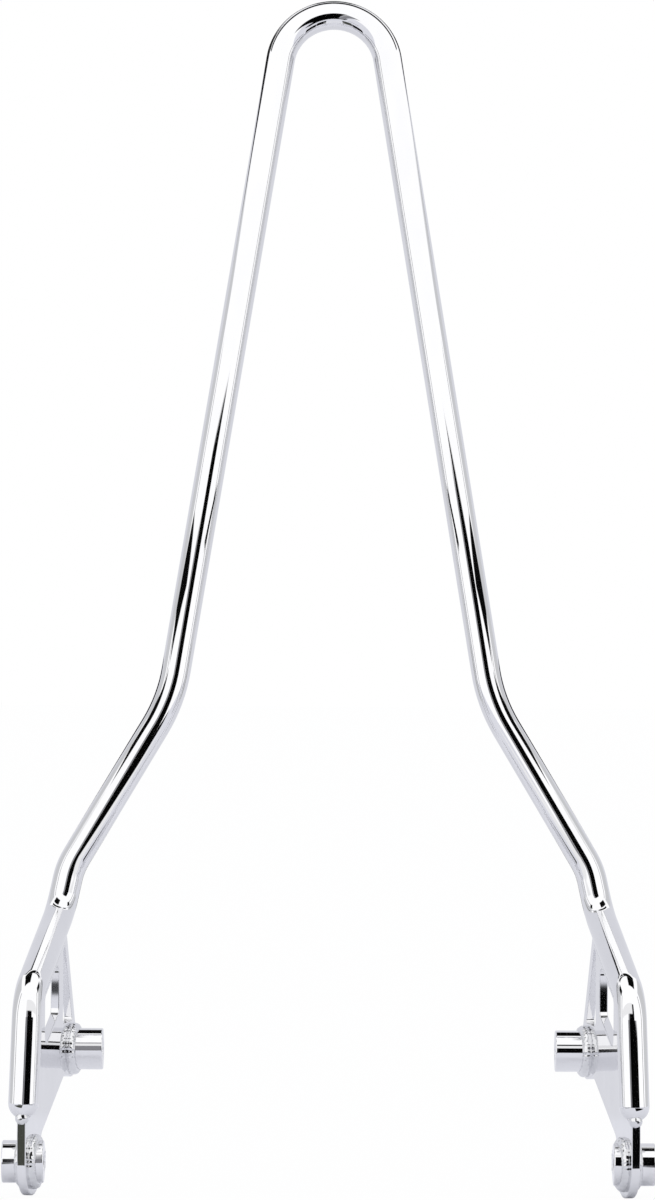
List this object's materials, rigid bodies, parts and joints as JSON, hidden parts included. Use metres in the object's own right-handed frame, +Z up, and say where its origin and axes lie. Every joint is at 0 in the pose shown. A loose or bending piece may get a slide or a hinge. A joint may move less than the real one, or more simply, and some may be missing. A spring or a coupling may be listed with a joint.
{
  "type": "sissy bar",
  "caption": "Tall narrow hoop of bent round bar on two splayed side plates with lightening windows and bolt bushings, all welded and chrome-plated, as a passenger's backrest hoop.",
  "frame": {"origin": "midway between the two lower bushings, on the axis of their bolt holes", "axes": "+X to the machine's right along the lower bolt holes, +Y to the machine's rear, +Z up"},
  "size_m": [0.3408, 0.2002, 0.6448],
  "materials": {
    "chrome_steel": "bright chrome plate on polished steel bar, plate and bushings",
    "weld_metal": "bright chrome plate over rippled weld beads"
  },
  "bodies": {
    "root": {"hoop_bar": "chrome_steel", "left_side_plate": "chrome_steel", "right_side_plate": "chrome_steel", "left_upper_bushing": "chrome_steel", "right_upper_bushing": "chrome_steel", "left_lower_bushing": "chrome_steel", "right_lower_bushing": "chrome_steel", "left_upper_inner_bead": "weld_metal", "right_upper_inner_bead": "weld_metal", "left_upper_outer_bead": "weld_metal", "right_upper_outer_bead": "weld_metal", "left_lower_inner_bead": "weld_metal", "right_lower_inner_bead": "weld_metal", "left_lower_outer_bead": "weld_metal", "right_lower_outer_bead": "weld_metal", "left_inner_seam": "weld_metal", "right_inner_seam": "weld_metal", "left_outer_seam": "weld_metal", "right_outer_seam": "weld_metal", "left_end_weld": "weld_metal", "right_end_weld": "weld_metal"}
  },
  "joints": []
}
